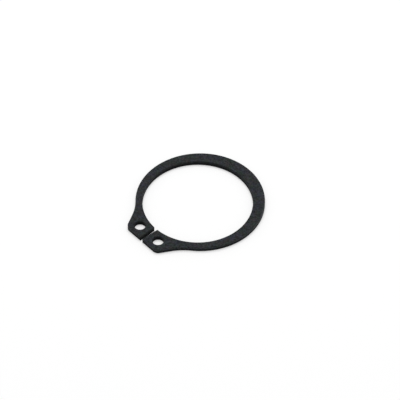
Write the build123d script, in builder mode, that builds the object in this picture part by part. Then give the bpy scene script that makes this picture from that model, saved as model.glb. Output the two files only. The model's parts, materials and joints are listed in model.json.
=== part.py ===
from build123d import *
from math import radians, tan
import os

# External retaining ring for a 32 mm shaft, stamped in one piece from spring steel
# strip. Z is the axis of the bore, the ring lies on its lower face at Z = 0, and the
# gap between its two lugs opens towards -Y. Lengths are in millimetres.

# Ring
bore_d = 29.6  # free bore, smaller than the groove, so that the ring grips it
thickness = 1.4  # nominal 1.5; this one is of slightly thinner strip
back_width = 3.45  # radial width opposite the gap
tail_width = 1.65  # radial width that the ring thins to beside the gap

# Lugs
lug_height = 5.2  # from the bore to the flat ends of the lugs
lug_span = 11.7  # across both lugs at their flat ends, before the corners are rounded
flank_angle = 29.5  # degrees between the outer flank of a lug and the Y axis
lug_corner_r = 1.7
root_r = 15.6  # hollow curve that leads from a flank into the back of the ring

# Plier holes
hole_d = 3.0
hole_pitch = 7.3
hole_height = 2.45  # from the bore to the centre of a hole

# Gap
gap_at_bore = 1.1
gap_at_end = 0.65
gap_corner_r = 0.2

# Edges of the two faces
rolled_edge_r = 0.15  # upper face, which the punch drew down as it went in
burr_bevel = 0.03  # lower face, where tumbling only took off the burr

# The bore and the back of the ring are two circles. The offset between them makes the
# ring wide opposite the gap and thin beside the lugs.
bore_r = bore_d / 2
outer_r = bore_r + (back_width + tail_width) / 2
outer_offset = (back_width - tail_width) / 2

# Both lugs are cut from one wedge. It starts level with the middle of the bore's lower
# half, well inside the outer circle, and ends in a flat.
wedge_y = -bore_r / 2
lug_end_y = -(bore_r + lug_height)
lug_end_x = lug_span / 2
wedge_x = lug_end_x + (wedge_y - lug_end_y) * tan(radians(flank_angle))

hole_y = -(bore_r + hole_height)


def gap_x(y):
    """Half the width of the gap at y, between walls that close in towards the lug ends."""
    return (gap_at_bore + (gap_at_end - gap_at_bore) * (-y - bore_r) / lug_height) / 2


# The cut for the gap starts in the open bore and runs out past the lug ends.
cut_end_y = lug_end_y - gap_at_end

with BuildPart() as retaining_ring:
    with BuildSketch() as outline:
        with Locations((0, outer_offset)):
            Circle(outer_r)
        with BuildLine():
            Polyline(
                (-wedge_x, wedge_y),
                (-lug_end_x, lug_end_y),
                (lug_end_x, lug_end_y),
                (wedge_x, wedge_y),
                close=True,
            )
        make_face()
        roots = outline.vertices().group_by(Axis.Y)[1]
        fillet(roots, root_r)
        lug_corners = outline.vertices().group_by(Axis.Y)[0]
        fillet(lug_corners, lug_corner_r)
        Circle(bore_r, mode=Mode.SUBTRACT)
        with BuildLine():
            Polyline(
                (-gap_x(0), 0),
                (-gap_x(cut_end_y), cut_end_y),
                (gap_x(cut_end_y), cut_end_y),
                (gap_x(0), 0),
                close=True,
            )
        make_face(mode=Mode.SUBTRACT)
        gap_corners = outline.vertices().sort_by(lambda corner: abs(corner.X))[:4]
        fillet(gap_corners, gap_corner_r)
        with Locations((-hole_pitch / 2, hole_y), (hole_pitch / 2, hole_y)):
            Circle(hole_d / 2, mode=Mode.SUBTRACT)
    extrude(amount=thickness)
    upper_face = retaining_ring.faces().sort_by(Axis.Z)[-1]
    fillet(upper_face.edges(), rolled_edge_r)
    lower_face = retaining_ring.faces().sort_by(Axis.Z)[0]
    chamfer(lower_face.edges(), burr_bevel)
    retaining_ring.part.label = "retaining_ring"

os.makedirs("parts", exist_ok=True)
export_step(retaining_ring.part, "parts/retaining_ring.step")
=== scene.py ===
import json
from math import atan, atan2, ceil, cos, pi, radians, sin, sqrt, tan

import bpy
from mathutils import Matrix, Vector


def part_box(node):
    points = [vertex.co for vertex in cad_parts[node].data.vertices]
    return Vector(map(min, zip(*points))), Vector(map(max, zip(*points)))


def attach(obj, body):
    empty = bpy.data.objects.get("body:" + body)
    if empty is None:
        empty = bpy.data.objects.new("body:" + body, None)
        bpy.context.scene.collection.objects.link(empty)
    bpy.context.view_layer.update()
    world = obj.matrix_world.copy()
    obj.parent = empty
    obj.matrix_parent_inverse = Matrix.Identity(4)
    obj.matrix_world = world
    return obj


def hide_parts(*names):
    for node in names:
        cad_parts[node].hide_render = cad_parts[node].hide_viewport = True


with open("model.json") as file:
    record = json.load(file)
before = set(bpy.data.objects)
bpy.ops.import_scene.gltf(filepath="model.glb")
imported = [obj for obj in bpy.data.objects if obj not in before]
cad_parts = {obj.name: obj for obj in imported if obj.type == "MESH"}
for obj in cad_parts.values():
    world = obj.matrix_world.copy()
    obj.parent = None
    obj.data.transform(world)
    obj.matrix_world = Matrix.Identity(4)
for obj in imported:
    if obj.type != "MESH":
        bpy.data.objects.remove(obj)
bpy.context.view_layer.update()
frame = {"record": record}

# An external retaining ring, stamped from spring steel strip and phosphated black. It
# lies on its lower face, with the axis of its bore along Z and its gap towards -Y.

MM = 0.001
WHITE = (1, 1, 1, 1)

# ---------------------------------------------------------------------------
# Sizes, in metres
# ---------------------------------------------------------------------------

# From the frame
ring_low, ring_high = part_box("retaining_ring")
mounts = {mount["name"]: mount for mount in frame["record"]["mounts"]}
THICKNESS = ring_high[2]
BORE_R = mounts["shaft_bore"]["dims"]["r_mm"] * MM
HOLE_R = mounts["plier_hole_right"]["dims"]["r_mm"] * MM
HOLE_X, HOLE_Y = mounts["plier_hole_right"]["pos_m"][:2]
OUTER_R = ring_high[0]
OUTER_CENTRE = Vector((0, ring_high[1] - OUTER_R))
LUG_END_Y = ring_low[1]
LUG_HEIGHT = -LUG_END_Y - BORE_R

# Lugs and gap
LUG_END_X = 5.85 * MM
FLANK_ANGLE = radians(29.5)
LUG_CORNER_R = 1.7 * MM
ROOT_R = 15.6 * MM
GAP_AT_BORE = 1.1 * MM
GAP_AT_END = 0.65 * MM
GAP_CORNER_R = 0.2 * MM

# How finely the outline is divided: the longest column, and the most that it may turn
COLUMN = 0.1 * MM
COLUMN_TURN = radians(10)

# The cut edge, from the upper face down
CUT_EDGE = {
    "Thickness": THICKNESS,
    "Roll radius": 0.15 * MM,
    "Bevel": 0.03 * MM,
    "Burnished share": 0.38,
    "Burnished share when pierced": 0.24,
    "Tear depth": 0.012 * MM,
    "Tear softness": 0.1 * MM,
    "Wave height": 0.16 * MM,
    "Wave length": 1.7 * MM,
    "Grain height": 0.016 * MM,
    "Grain length": 0.26 * MM,
    "Rows": 24,
    "Roll rows": 5,
    "Bevel rows": 2,
    "Seed": 4,
}

# Points of the mesh that lie nearer to each other than this are one
MERGE = 0.001 * MM

# The floor: the length of its sides, and its level, just clear of the ring's lower face
FLOOR = 2.0
FLOOR_LEVEL = -0.01 * MM

# Light, with 1 as white: what the room sheds on a surface, and the share of itself that
# the paper shows as pure white, which lightens its shadows. Then the softbox: its width,
# its power in watts and its place.
AMBIENT = 0.45
PAPER_GLOW = 0.4
SOFTBOX_SIZE = 1.0
SOFTBOX_POWER = 10.4
SOFTBOX_PLACE = Vector((-0.24, 0.22, 1.2))

# The camera: its film and lens in millimetres, the nearest that it sees, its distance
# from the bore's centre, its direction from there, and how far to the side and up its
# middle lies from that point
CAMERA_FILM = 36
CAMERA_LENS = 219.9
CAMERA_NEAREST = 0.01
CAMERA_DISTANCE = 0.655
CAMERA_TURN = radians(-41.7)
CAMERA_RISE = radians(46.9)
CAMERA_AIM = (0.61 * MM, 1.27 * MM)

# The three tints that the coat drifts between, and over what range of their noises the
# green one turns brown and both turn blue
PHOSPHATE_GREEN = (0.0130, 0.0215, 0.0175, 1)
PHOSPHATE_BROWN = (0.0220, 0.0187, 0.0195, 1)
PHOSPHATE_BLUE = (0.0175, 0.0187, 0.0310, 1)
BROWN_RANGE = (0.35, 0.65)
BLUE_RANGE = (0.4, 0.75)

# The sizes of what shows in the coat, from its crystals to the slow drift of the bath
CRYSTAL = 0.09 * MM
CLUMP = 0.42 * MM
TINT = 1.1 * MM
PATCH = 1.6 * MM
DRIFT = 7 * MM

# How strongly each of them lightens and darkens the coat, and the darkest that it gets
CLUMP_CONTRAST = 3.6
CRYSTAL_CONTRAST = 0.7
PATCH_CONTRAST = 0.5
DRIFT_CONTRAST = 0.3
DARKEST = 0.05

# The marks that the tools drew down the burnished band: their width, their width as a
# share of their length, and how strongly they show
DRAW_MARK = 0.12 * MM
DRAW_STRETCH = 0.12
DRAW_CONTRAST = 0.8

# How much lighter the whole cut edge is, as painted sheen, how much darker its lower band is, and
# how much painted shade darkens the walls that a punch cut
EDGE_PAINTED_SHEEN = 0.25
LOWER_BAND_DARKER = 0.55
PIERCED_PAINTED_SHADE = 0.45

# How rough the coat is, by how much its patches, the torn steel and the burnished band
# differ from that, how high its grain stands, in which clumps count for more than
# crystals, and how strongly it reflects
COAT_ROUGHNESS = 0.55
PATCH_ROUGHNESS = 0.3
TORN_ROUGHER = 0.2
BURNISHED_SMOOTHER = 0.08
COAT_RELIEF = 0.004 * MM
CLUMP_RELIEF = 2
COAT_SPECULAR = 0.08


# ---------------------------------------------------------------------------
# Node trees
# ---------------------------------------------------------------------------


class Number:
    """A number socket that Python's own operators work on."""

    def __init__(self, graph, socket):
        self.graph = graph
        self.socket = socket

    def __add__(self, other):
        return self.graph.math("ADD", self, other)

    def __radd__(self, other):
        return self.graph.math("ADD", other, self)

    def __sub__(self, other):
        return self.graph.math("SUBTRACT", self, other)

    def __rsub__(self, other):
        return self.graph.math("SUBTRACT", other, self)

    def __mul__(self, other):
        return self.graph.math("MULTIPLY", self, other)

    def __rmul__(self, other):
        return self.graph.math("MULTIPLY", other, self)

    def __truediv__(self, other):
        return self.graph.math("DIVIDE", self, other)

    def __rtruediv__(self, other):
        return self.graph.math("DIVIDE", other, self)


class Graph:
    """Adds nodes to one shader or geometry node tree."""

    def __init__(self, tree):
        self.tree = tree

    def node(self, kind, settings=None, sockets=None):
        """A node of that kind. Its settings come first, then its sockets' values or links."""
        made = self.tree.nodes.new(kind)
        for name, value in (settings or {}).items():
            setattr(made, name, value)
        for key, value in (sockets or {}).items():
            if isinstance(value, Number):
                value = value.socket
            if isinstance(value, bpy.types.NodeSocket):
                self.tree.links.new(value, made.inputs[key])
            else:
                made.inputs[key].default_value = value
        return made

    def math(self, operation, *values):
        made = self.node("ShaderNodeMath", {"operation": operation}, dict(enumerate(values)))
        return Number(self, made.outputs["Value"])

    def share(self, value, low, high, soft=False):
        """How far a number is on its way from low to high, between 0 and 1."""
        settings = {"interpolation_type": "SMOOTHSTEP" if soft else "LINEAR"}
        sockets = {"Value": value, "From Min": low, "From Max": high}
        made = self.node("ShaderNodeMapRange", settings, sockets)
        return Number(self, made.outputs["Result"])

    def noise(self, place, scale, detail=2.0, roughness=0.5, seed=0.0):
        """Noise round 0.5, with about that many features to a metre."""
        sockets = {"Vector": place, "W": seed, "Scale": scale}
        sockets.update({"Detail": detail, "Roughness": roughness})
        made = self.node("ShaderNodeTexNoise", {"noise_dimensions": "4D"}, sockets)
        return Number(self, made.outputs["Fac"])

    def scaled(self, vector, factor):
        sockets = {0: vector, "Scale": factor}
        made = self.node("ShaderNodeVectorMath", {"operation": "SCALE"}, sockets)
        return made.outputs["Vector"]

    def added(self, vector, other):
        made = self.node("ShaderNodeVectorMath", {"operation": "ADD"}, {0: vector, 1: other})
        return made.outputs["Vector"]

    def mixed(self, colour, other, share):
        """The first colour where share is 0 and the other where it is 1."""
        made = self.node("ShaderNodeMix", {"data_type": "RGBA"}, {0: share, 6: colour, 7: other})
        return made.outputs[2]


# ---------------------------------------------------------------------------
# Outline of the stamping
# ---------------------------------------------------------------------------

# A stretch of outline is a list of (place, outward, pierced). Outward is the direction
# that faces out of the steel, and pierced is 1 where a punch cut the edge and 0 where
# the blanking die did.


def angle_of(vector):
    return atan2(vector.y, vector.x)


def arc(centre, radius, start, end, hollow=False, pierced=0.0):
    """An arc between two angles, with the steel inside its circle, or outside if it is hollow."""
    turn = abs(end - start)
    count = ceil(max(turn * radius / COLUMN, turn / COLUMN_TURN))
    stretch = []
    for step in range(count + 1):
        angle = start + (end - start) * step / count
        ray = Vector((cos(angle), sin(angle)))
        stretch.append((centre + radius * ray, -ray if hollow else ray, pierced))
    return stretch


def straight(start, end):
    """What lies between two points of the outline, without the two."""
    count = ceil((end[0] - start[0]).length / COLUMN)
    stretch = []
    for step in range(1, count):
        share = step / count
        pierced = start[2] + (end[2] - start[2]) * share
        stretch.append((start[0].lerp(end[0], share), start[1], pierced))
    return stretch


def blend_centre(point, direction, radius, circle_centre, circle_r):
    """Centre of the arc that touches a line on its left, and touches a circle from outside."""
    left = Vector((-direction.y, direction.x))
    base = point + left * radius - circle_centre
    back = base.dot(direction)
    along = sqrt(back**2 - base.length_squared + (circle_r + radius) ** 2) - back
    return circle_centre + base + direction * along


def half_outline():
    """The right half, from the ring's back round the lug and the gap to the bore's back."""
    bore_centre = Vector((0, 0))

    # The flank runs down to the lug's corner, and fills out into the ring with the root's arc.
    flank = Vector((-sin(FLANK_ANGLE), -cos(FLANK_ANGLE)))
    root = blend_centre(Vector((LUG_END_X, LUG_END_Y)), flank, ROOT_R, OUTER_CENTRE, OUTER_R)
    at_root = angle_of(root - OUTER_CENTRE)
    lug_x = LUG_END_X - LUG_CORNER_R * tan((pi / 2 - FLANK_ANGLE) / 2)
    lug_centre = Vector((lug_x, LUG_END_Y + LUG_CORNER_R))

    # The gap's wall runs down from the bore, and leans a little towards the middle.
    lean = atan((GAP_AT_BORE - GAP_AT_END) / 2 / LUG_HEIGHT)
    wall = Vector((-sin(lean), -cos(lean)))
    end_x = GAP_AT_END / 2 + GAP_CORNER_R * (1 + sin(lean)) / cos(lean)
    end_centre = Vector((end_x, LUG_END_Y + GAP_CORNER_R))
    at_bore = Vector((GAP_AT_BORE / 2, -BORE_R))
    mouth = blend_centre(at_bore, wall, GAP_CORNER_R, bore_centre, BORE_R)

    arcs = [
        arc(OUTER_CENTRE, OUTER_R, pi / 2, at_root),
        arc(root, ROOT_R, at_root + pi, pi - FLANK_ANGLE, hollow=True),
        arc(lug_centre, LUG_CORNER_R, -FLANK_ANGLE, -pi / 2),
        arc(end_centre, GAP_CORNER_R, -pi / 2, -pi - lean, pierced=1.0),
        arc(mouth, GAP_CORNER_R, pi - lean, angle_of(-mouth), pierced=1.0),
        arc(bore_centre, BORE_R, angle_of(mouth), pi / 2, hollow=True, pierced=1.0),
    ]
    outline = arcs[0]
    for stretch in arcs[1:]:
        if (outline[-1][0] - stretch[0][0]).length < COLUMN / 2:
            outline.pop()
        else:
            outline += straight(outline[-1], stretch[0])
        outline += stretch
    return outline


def mirrored(stretch):
    """The same stretch on the other side of the ring, walked the other way."""
    flip = Vector((-1, 1))
    walked = reversed(stretch)
    return [(place * flip, outward * flip, pierced) for place, outward, pierced in walked]


def stamping_loops():
    """The loops that the press tools cut: the outline with the bore, and the two plier holes."""
    half = half_outline()
    loops = [half + mirrored(half)[1:-1]]
    for side in (-1, 1):
        centre = Vector((side * HOLE_X, HOLE_Y))
        hole = arc(centre, HOLE_R, 0, 2 * pi, hollow=True, pierced=1.0)
        loops.append(hole[:-1])
    return loops


def loops_object(loops):
    """The loops as a mesh of edges, with what the node tree needs to know at each point."""
    points = [point for loop in loops for point in loop]
    edges = []
    start = 0
    for loop in loops:
        count = len(loop)
        edges += [(start + step, start + (step + 1) % count) for step in range(count)]
        start += count
    mesh = bpy.data.meshes.new("stamping outline")
    mesh.from_pydata([place.to_3d() for place, outward, pierced in points], edges, [])
    outwards = mesh.attributes.new("outward", "FLOAT_VECTOR", "POINT").data
    for item, (place, outward, pierced) in zip(outwards, points):
        item.vector = outward.to_3d()
    punched = mesh.attributes.new("pierced", "FLOAT", "POINT").data
    for item, (place, outward, pierced) in zip(punched, points):
        item.value = pierced
    made = bpy.data.objects.new("stamping outline", mesh)
    bpy.context.scene.collection.objects.link(made)
    return made


# ---------------------------------------------------------------------------
# The stamped ring
# ---------------------------------------------------------------------------


def stamping_tree(material):
    """Sweeps a cut edge round the loops, and closes it with an upper and a lower face."""
    tree = bpy.data.node_groups.new("stamped ring", "GeometryNodeTree")
    tree.is_modifier = True
    graph = Graph(tree)
    tree.interface.new_socket("Loops", in_out="INPUT", socket_type="NodeSocketGeometry")
    for name, value in CUT_EDGE.items():
        kind = "NodeSocketInt" if isinstance(value, int) else "NodeSocketFloat"
        tree.interface.new_socket(name, in_out="INPUT", socket_type=kind)
    tree.interface.new_socket("Ring", in_out="OUTPUT", socket_type="NodeSocketGeometry")
    given = graph.node("NodeGroupInput").outputs
    size = {name: Number(graph, given[name]) for name in CUT_EDGE}

    def stored(geometry, name, kind, value, domain="POINT"):
        settings = {"data_type": kind, "domain": domain}
        sockets = {"Geometry": geometry, "Name": name, "Value": value}
        return graph.node("GeometryNodeStoreNamedAttribute", settings, sockets).outputs["Geometry"]

    def read(name, kind="FLOAT"):
        made = graph.node("GeometryNodeInputNamedAttribute", {"data_type": kind}, {"Name": name})
        return made.outputs["Attribute"]

    def upwards(height):
        return graph.node("ShaderNodeCombineXYZ", {}, {"Z": height}).outputs["Vector"]

    # Rails: the loops. Each point remembers where it is.
    rails = graph.node("GeometryNodeMeshToCurve", {}, {"Mesh": given["Loops"]}).outputs["Curve"]
    here = graph.node("GeometryNodeInputPosition").outputs["Position"]
    rails = stored(rails, "place", "FLOAT_VECTOR", here)

    # Section: a plain line, whose points know which row they are.
    line = graph.node("GeometryNodeCurvePrimitiveLine", {}, {"End": (0, MM, 0)}).outputs["Curve"]
    sockets = {"Curve": line, "Count": size["Rows"] + 1}
    section = graph.node("GeometryNodeResampleCurve", {}, sockets).outputs["Curve"]
    index = graph.node("GeometryNodeSplineParameter").outputs["Index"]
    section = stored(section, "row", "FLOAT", index)
    sockets = {"Curve": rails, "Profile Curve": section}
    wall = graph.node("GeometryNodeCurveToMesh", {}, sockets).outputs["Mesh"]

    # Down from the upper face: the quarter round of the roll, the straight wall, the bevel.
    row = Number(graph, read("row"))
    place = read("place", "FLOAT_VECTOR")
    pierced = Number(graph, read("pierced"))
    turn = graph.share(row, 0, size["Roll rows"]) * (pi / 2)
    bevel_from = size["Rows"] - size["Bevel rows"]
    on_wall = graph.share(row, size["Roll rows"], bevel_from)
    on_bevel = graph.share(row, bevel_from, size["Rows"])
    wall_height = size["Thickness"] - size["Roll radius"] - size["Bevel"]
    rolled = size["Roll radius"] * (1 - graph.math("COSINE", turn))
    depth = rolled + wall_height * on_wall + size["Bevel"] * on_bevel
    inset = size["Roll radius"] * (1 - graph.math("SINE", turn)) + size["Bevel"] * on_bevel

    # Below the burnished band the steel has torn, a little inside the tool's own line.
    share = size["Burnished share"] * (1 - pierced) + size["Burnished share when pierced"] * pierced
    wave = graph.noise(place, 1 / size["Wave length"], seed=size["Seed"]) - 0.5
    burnished = size["Thickness"] * share + size["Wave height"] * wave
    torn = graph.share(depth, burnished, burnished + size["Tear softness"], soft=True)
    spot = graph.added(place, upwards(depth))
    grain = graph.noise(spot, 1 / size["Grain length"], detail=3, seed=size["Seed"] + 1)
    inset = inset + torn * (size["Tear depth"] + size["Grain height"] * (grain - 0.5))

    inward = graph.scaled(read("outward", "FLOAT_VECTOR"), 0 - inset)
    moved = graph.added(graph.added(place, inward), upwards(size["Thickness"] - depth))
    wall = stored(wall, "torn", "FLOAT", torn)
    sockets = {"Geometry": wall, "Position": moved}
    wall = graph.node("GeometryNodeSetPosition", {}, sockets).outputs["Geometry"]

    def face(level, at_rim):
        """A flat face that fills the wall's first or last row."""
        sockets = {"Mesh": wall, "Selection": at_rim}
        rim = graph.node("GeometryNodeMeshToCurve", {}, sockets).outputs["Curve"]
        flat = graph.node("GeometryNodeFillCurve", {}, {"Curve": rim}).outputs["Mesh"]
        sockets = {"Geometry": flat, "Offset": upwards(level)}
        made = graph.node("GeometryNodeSetPosition", {}, sockets)
        return made.outputs["Geometry"]

    upper = face(size["Thickness"], graph.math("LESS_THAN", row, 0.5))
    lower = face(0.0, graph.math("GREATER_THAN", row, size["Rows"] - 0.5))
    lower = graph.node("GeometryNodeFlipFaces", {}, {"Mesh": lower}).outputs["Mesh"]

    # The wall faces out of the steel. It is shaded smooth and the two faces flat, and the finish
    # can tell them apart.
    wall = graph.node("GeometryNodeFlipFaces", {}, {"Mesh": wall}).outputs["Mesh"]
    wall = stored(wall, "wall", "FLOAT", 1.0, domain="FACE")
    sockets = {"Geometry": wall, "Shade Smooth": True}
    wall = graph.node("GeometryNodeSetShadeSmooth", {}, sockets).outputs["Geometry"]
    joined = graph.node("GeometryNodeJoinGeometry")
    for part in (lower, upper, wall):
        tree.links.new(part, joined.inputs["Geometry"])
    sockets = {"Geometry": joined.outputs["Geometry"], "Distance": MERGE}
    ring = graph.node("GeometryNodeMergeByDistance", {}, sockets).outputs["Geometry"]
    ring = graph.node("GeometryNodeRealizeInstances", {}, {"Geometry": ring}).outputs["Geometry"]
    sockets = {"Geometry": ring, "Material": material}
    ring = graph.node("GeometryNodeSetMaterial", {}, sockets).outputs["Geometry"]
    graph.node("NodeGroupOutput", {}, {"Ring": ring})
    return tree


def stamped_ring(material):
    """The ring as a plain mesh."""
    outline = loops_object(stamping_loops())
    modifier = outline.modifiers.new("stamped ring", "NODES")
    modifier.node_group = stamping_tree(material)
    for item in modifier.node_group.interface.items_tree:
        if item.in_out == "INPUT" and item.name in CUT_EDGE:
            modifier[item.identifier] = CUT_EDGE[item.name]
    seen = outline.evaluated_get(bpy.context.evaluated_depsgraph_get())
    mesh = bpy.data.meshes.new_from_object(seen)
    bpy.data.objects.remove(outline)
    for name in ("place", "outward", "row"):
        mesh.attributes.remove(mesh.attributes[name])
    mesh.materials.clear()
    mesh.materials.append(material)
    made = bpy.data.objects.new("stamped_ring", mesh)
    bpy.context.scene.collection.objects.link(made)
    return made


# ---------------------------------------------------------------------------
# Finishes
# ---------------------------------------------------------------------------


def new_graph(name):
    material = bpy.data.materials.new(name)
    material.use_nodes = True
    material.node_tree.nodes.clear()
    return material, Graph(material.node_tree)


def black_phosphate():
    """Black phosphate on spring steel: matt, finely grained and slightly cloudy."""
    material, graph = new_graph("phosphate_coat")

    def attribute(name):
        made = graph.node("ShaderNodeAttribute", {"attribute_name": name})
        return Number(graph, made.outputs["Fac"])

    place = graph.node("ShaderNodeTexCoord").outputs["Object"]
    wall = attribute("wall")
    torn = attribute("torn") * wall
    # The walls that a punch cut, which carry painted shade below
    pierced = attribute("pierced") * wall

    # Crystals, the clumps that they grow in, the patches where the coat is thicker, and the
    # slow drift of the bath over the face
    crystals = graph.noise(place, 1 / CRYSTAL)
    clumps = graph.noise(place, 1 / CLUMP, detail=1, seed=4)
    patches = graph.noise(place, 1 / PATCH, detail=2, seed=1)
    drift = graph.noise(place, 1 / DRIFT, seed=2)
    warmth = graph.noise(place, 1 / TINT, detail=2, seed=3)
    blueness = graph.noise(place, 1 / TINT, detail=2, seed=6)

    # Draw marks, which run down the burnished band
    burnished = wall - torn
    sockets = {"Vector": place, "Scale": (1, 1, DRAW_STRETCH)}
    squashed = graph.node("ShaderNodeMapping", {}, sockets).outputs["Vector"]
    draw = graph.noise(squashed, 1 / DRAW_MARK, detail=3, roughness=0.7, seed=5)

    tone = 1 + CLUMP_CONTRAST * (clumps - 0.5) + CRYSTAL_CONTRAST * (crystals - 0.5)
    tone = tone + PATCH_CONTRAST * (patches - 0.5) + DRIFT_CONTRAST * (drift - 0.5)
    # Painted sheen lightens the whole cut edge.
    # The lower band of the cut edge, below the burnished band, is darker.
    tone = tone * (1 + wall * EDGE_PAINTED_SHEEN) * (1 - torn * LOWER_BAND_DARKER)
    # Painted shade darkens the walls that a punch cut: the bore, the gap and the plier holes.
    tone = tone * (1 - pierced * PIERCED_PAINTED_SHADE) * (1 + burnished * (draw - 0.5) * DRAW_CONTRAST)
    colour = graph.mixed(PHOSPHATE_GREEN, PHOSPHATE_BROWN, graph.share(warmth, *BROWN_RANGE))
    colour = graph.mixed(colour, PHOSPHATE_BLUE, graph.share(blueness, *BLUE_RANGE))
    colour = graph.scaled(colour, graph.math("MAXIMUM", tone, DARKEST))

    roughness = COAT_ROUGHNESS + PATCH_ROUGHNESS * (patches - 0.5)
    roughness = roughness + torn * TORN_ROUGHER - burnished * BURNISHED_SMOOTHER
    relief = clumps * CLUMP_RELIEF + crystals + burnished * draw
    sockets = {"Height": relief, "Distance": COAT_RELIEF}
    bump = graph.node("ShaderNodeBump", {}, sockets).outputs["Normal"]

    sockets = {"Base Color": colour, "Roughness": roughness, "Normal": bump}
    sockets["Specular IOR Level"] = COAT_SPECULAR
    shader = graph.node("ShaderNodeBsdfPrincipled", {}, sockets).outputs["BSDF"]
    graph.node("ShaderNodeOutputMaterial", {}, {"Surface": shader})
    return material


def seen_directly(graph):
    """1 for what the camera, a reflection or a clear body sees, and 0 for light on a surface."""
    rays = graph.node("ShaderNodeLightPath").outputs
    seen = Number(graph, rays["Is Camera Ray"]) + Number(graph, rays["Is Glossy Ray"])
    return graph.math("MINIMUM", seen + Number(graph, rays["Is Transmission Ray"]), 1.0)


def white_paper():
    """The floor: white paper, which glows a little where it is seen, so its shadows stay light."""
    material, graph = new_graph("white_paper")
    paper = graph.node("ShaderNodeBsdfDiffuse", {}, {"Color": WHITE}).outputs["BSDF"]
    sockets = {"Color": WHITE, "Strength": 1.0}
    glow = graph.node("ShaderNodeEmission", {}, sockets).outputs["Emission"]
    seen = seen_directly(graph) * PAPER_GLOW
    shader = graph.node("ShaderNodeMixShader", {}, {0: seen, 1: paper, 2: glow}).outputs["Shader"]
    graph.node("ShaderNodeOutputMaterial", {}, {"Surface": shader})
    return material


# ---------------------------------------------------------------------------
# Studio
# ---------------------------------------------------------------------------


def studio():
    """A white room with a paper floor, and one softbox that leans over the ring from behind."""
    scene = bpy.context.scene
    scene.view_settings.view_transform = "Standard"

    world = bpy.data.worlds.new("white_room")
    world.use_nodes = True
    world.node_tree.nodes.clear()
    graph = Graph(world.node_tree)
    seen = seen_directly(graph)
    light = graph.mixed((AMBIENT, AMBIENT, AMBIENT, 1), WHITE, seen)
    sky = graph.node("ShaderNodeBackground", {}, {"Color": light}).outputs["Background"]
    graph.node("ShaderNodeOutputWorld", {}, {"Surface": sky})
    scene.world = world

    mesh = bpy.data.meshes.new("paper_floor")
    half = FLOOR / 2
    corners = [(-half, -half), (half, -half), (half, half), (-half, half)]
    mesh.from_pydata([(x, y, FLOOR_LEVEL) for x, y in corners], [], [(0, 1, 2, 3)])
    mesh.materials.append(white_paper())
    floor = bpy.data.objects.new("paper_floor", mesh)
    scene.collection.objects.link(floor)

    lamp = bpy.data.lights.new("softbox", "AREA")
    lamp.shape = "DISK"
    lamp.size = SOFTBOX_SIZE
    lamp.energy = SOFTBOX_POWER
    softbox = bpy.data.objects.new("softbox", lamp)
    softbox.location = SOFTBOX_PLACE
    softbox.rotation_euler = (-SOFTBOX_PLACE).to_track_quat("-Z", "Y").to_euler()
    scene.collection.objects.link(softbox)


def camera():
    """Looks down on the ring from beyond its lugs, on their right."""
    lens = bpy.data.cameras.new("camera")
    lens.sensor_width = CAMERA_FILM
    lens.lens = CAMERA_LENS
    lens.clip_start = CAMERA_NEAREST
    made = bpy.data.objects.new("camera", lens)
    bpy.context.scene.collection.objects.link(made)
    level = Vector((cos(CAMERA_TURN), sin(CAMERA_TURN), 0))
    direction = level * cos(CAMERA_RISE) + Vector((0, 0, sin(CAMERA_RISE)))
    turned = direction.to_track_quat("Z", "Y")
    made.rotation_euler = turned.to_euler()
    made.location = direction * CAMERA_DISTANCE + turned @ Vector(CAMERA_AIM).to_3d()
    bpy.context.scene.camera = made


# ---------------------------------------------------------------------------
# The scene
# ---------------------------------------------------------------------------

studio()
camera()
ring = stamped_ring(black_phosphate())
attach(ring, "root")
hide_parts("retaining_ring")
